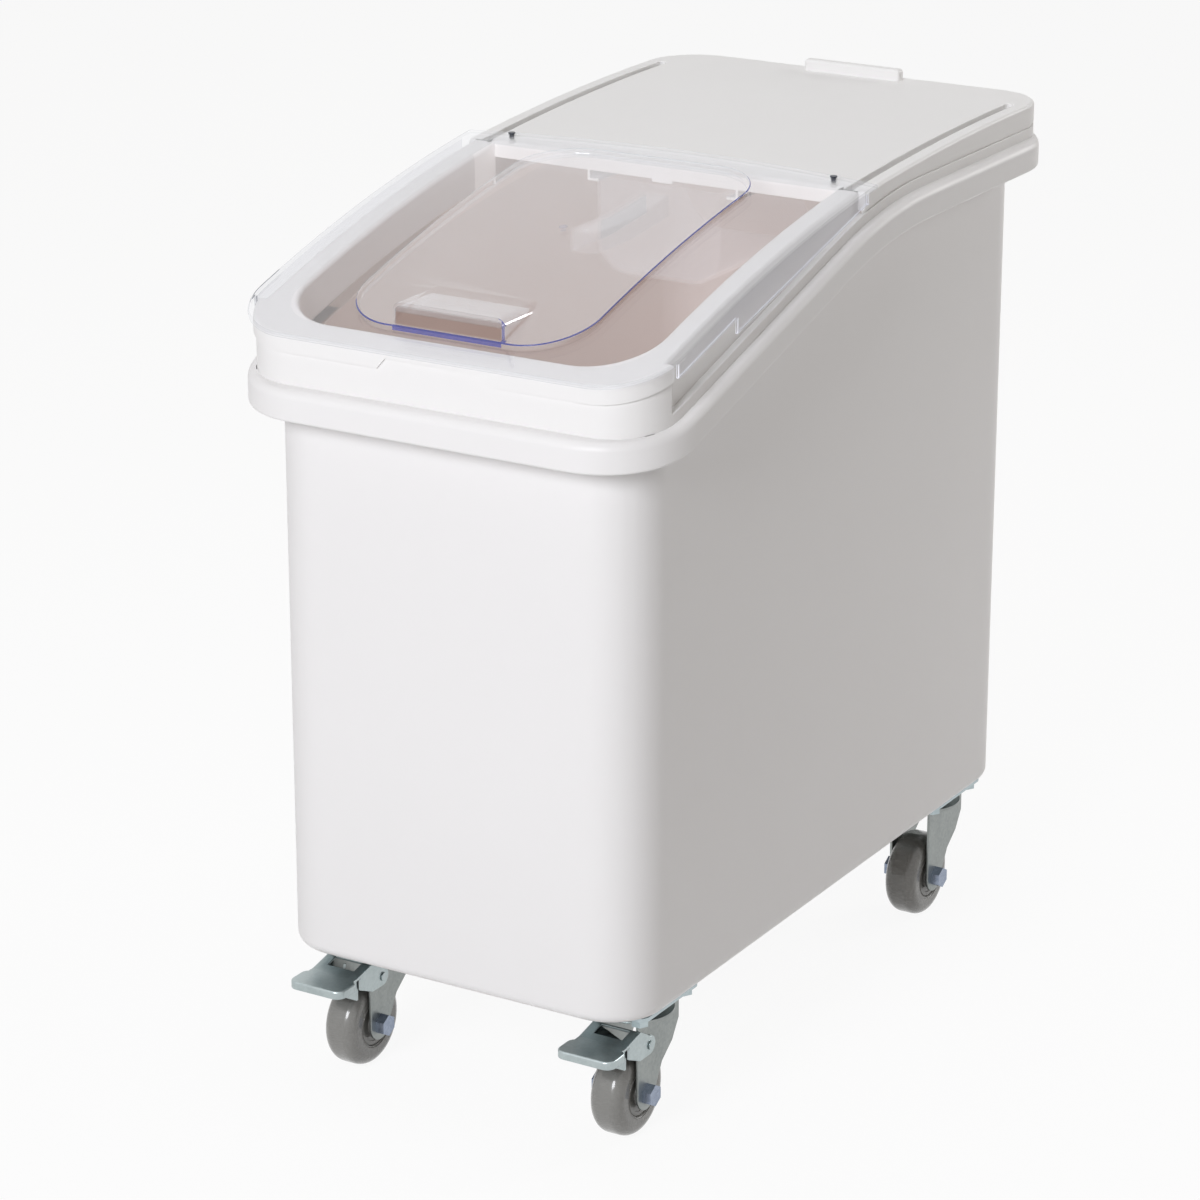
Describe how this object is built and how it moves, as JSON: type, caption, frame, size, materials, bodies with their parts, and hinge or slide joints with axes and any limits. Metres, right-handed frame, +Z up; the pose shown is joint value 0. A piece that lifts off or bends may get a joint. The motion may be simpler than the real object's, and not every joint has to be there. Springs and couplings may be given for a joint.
{
  "type": "rolling flour bin",
  "caption": "Deep rounded ingredient bin on swivel casters with pedal brakes, a sloping cover, a clear lid that slides back along an arc and a scoop hung under the cover.",
  "frame": {"origin": "bottom centre of the bin's bounding box: the middle of the rim in plan, on the floor under the wheels", "axes": "+X right seen from the front, the front with the lid's pull faces -Y, +Z up"},
  "size_m": [0.394, 0.72, 0.7478],
  "materials": {
    "tub_plastic": "satin",
    "cover_plastic": "satin",
    "clear_plastic": "clear gloss",
    "scoop_plastic": "clear gloss",
    "dark_plastic": "gloss",
    "caster_steel": "zinc plated",
    "bolt_steel": "zinc plated",
    "hub_plastic": "satin",
    "tread": "satin"
  },
  "bodies": {
    "bin": {"tub": "tub_plastic", "top_cover": "cover_plastic", "caster_bolts": "bolt_steel", "caster_nuts": "bolt_steel", "front_left_plate": "caster_steel", "front_left_race": "caster_steel", "front_left_kingpin": "caster_steel", "front_right_plate": "caster_steel", "front_right_race": "caster_steel", "front_right_kingpin": "caster_steel", "rear_left_plate": "caster_steel", "rear_left_race": "caster_steel", "rear_left_kingpin": "caster_steel", "rear_right_plate": "caster_steel", "rear_right_race": "caster_steel", "rear_right_kingpin": "caster_steel"},
    "lid": {"sliding_lid": "clear_plastic", "lid_stop_pins": "dark_plastic"},
    "scoop": {"scoop": "scoop_plastic"},
    "front_left_caster": {"front_left_balls": "bolt_steel", "front_left_fork": "caster_steel", "front_left_axle_bolt": "bolt_steel", "front_left_axle_nut": "bolt_steel", "front_left_axle_sleeve": "bolt_steel", "front_left_brake_rivets": "caster_steel"},
    "front_left_wheel": {"front_left_hub": "hub_plastic", "front_left_tyre": "tread"},
    "front_left_brake": {"front_left_brake_pedal": "caster_steel"},
    "front_right_caster": {"front_right_balls": "bolt_steel", "front_right_fork": "caster_steel", "front_right_axle_bolt": "bolt_steel", "front_right_axle_nut": "bolt_steel", "front_right_axle_sleeve": "bolt_steel", "front_right_brake_rivets": "caster_steel"},
    "front_right_wheel": {"front_right_hub": "hub_plastic", "front_right_tyre": "tread"},
    "front_right_brake": {"front_right_brake_pedal": "caster_steel"},
    "rear_left_caster": {"rear_left_balls": "bolt_steel", "rear_left_fork": "caster_steel", "rear_left_axle_bolt": "bolt_steel", "rear_left_axle_nut": "bolt_steel", "rear_left_axle_sleeve": "bolt_steel"},
    "rear_left_wheel": {"rear_left_hub": "hub_plastic", "rear_left_tyre": "tread"},
    "rear_right_caster": {"rear_right_balls": "bolt_steel", "rear_right_fork": "caster_steel", "rear_right_axle_bolt": "bolt_steel", "rear_right_axle_nut": "bolt_steel", "rear_right_axle_sleeve": "bolt_steel"},
    "rear_right_wheel": {"rear_right_hub": "hub_plastic", "rear_right_tyre": "tread"}
  },
  "joints": [
    {"name": "lid_slide", "type": "hinge", "parent": "bin", "child": "lid", "pos_m": [0, 0.215, -0.9908], "axis": [-1, 0, 0], "range_deg": [0, 7.7]},
    {"name": "scoop_slide", "type": "slide", "parent": "bin", "child": "scoop", "axis": [0, -1, 0], "range_m": [0, 0.05]},
    {"name": "front_left_swivel", "type": "hinge", "parent": "bin", "child": "front_left_caster", "pos_m": [-0.128, -0.258, 0.1055], "axis": [0, 0, 1], "continuous": true},
    {"name": "front_left_spin", "type": "hinge", "parent": "front_left_caster", "child": "front_left_wheel", "pos_m": [-0.128, -0.272, 0.0375], "axis": [1, 0, 0], "continuous": true},
    {"name": "front_left_brake_press", "type": "hinge", "parent": "front_left_caster", "child": "front_left_brake", "pos_m": [-0.128, -0.271, 0.0805], "axis": [1, 0, 0], "range_deg": [0, 10]},
    {"name": "front_right_swivel", "type": "hinge", "parent": "bin", "child": "front_right_caster", "pos_m": [0.128, -0.258, 0.1055], "axis": [0, 0, 1], "continuous": true},
    {"name": "front_right_spin", "type": "hinge", "parent": "front_right_caster", "child": "front_right_wheel", "pos_m": [0.128, -0.272, 0.0375], "axis": [1, 0, 0], "continuous": true},
    {"name": "front_right_brake_press", "type": "hinge", "parent": "front_right_caster", "child": "front_right_brake", "pos_m": [0.128, -0.271, 0.0805], "axis": [1, 0, 0], "range_deg": [0, 10]},
    {"name": "rear_left_swivel", "type": "hinge", "parent": "bin", "child": "rear_left_caster", "pos_m": [-0.128, 0.258, 0.1055], "axis": [0, 0, 1], "continuous": true},
    {"name": "rear_left_spin", "type": "hinge", "parent": "rear_left_caster", "child": "rear_left_wheel", "pos_m": [-0.128, 0.244, 0.0375], "axis": [1, 0, 0], "continuous": true},
    {"name": "rear_right_swivel", "type": "hinge", "parent": "bin", "child": "rear_right_caster", "pos_m": [0.128, 0.258, 0.1055], "axis": [0, 0, 1], "continuous": true},
    {"name": "rear_right_spin", "type": "hinge", "parent": "rear_right_caster", "child": "rear_right_wheel", "pos_m": [0.128, 0.244, 0.0375], "axis": [1, 0, 0], "continuous": true}
  ]
}
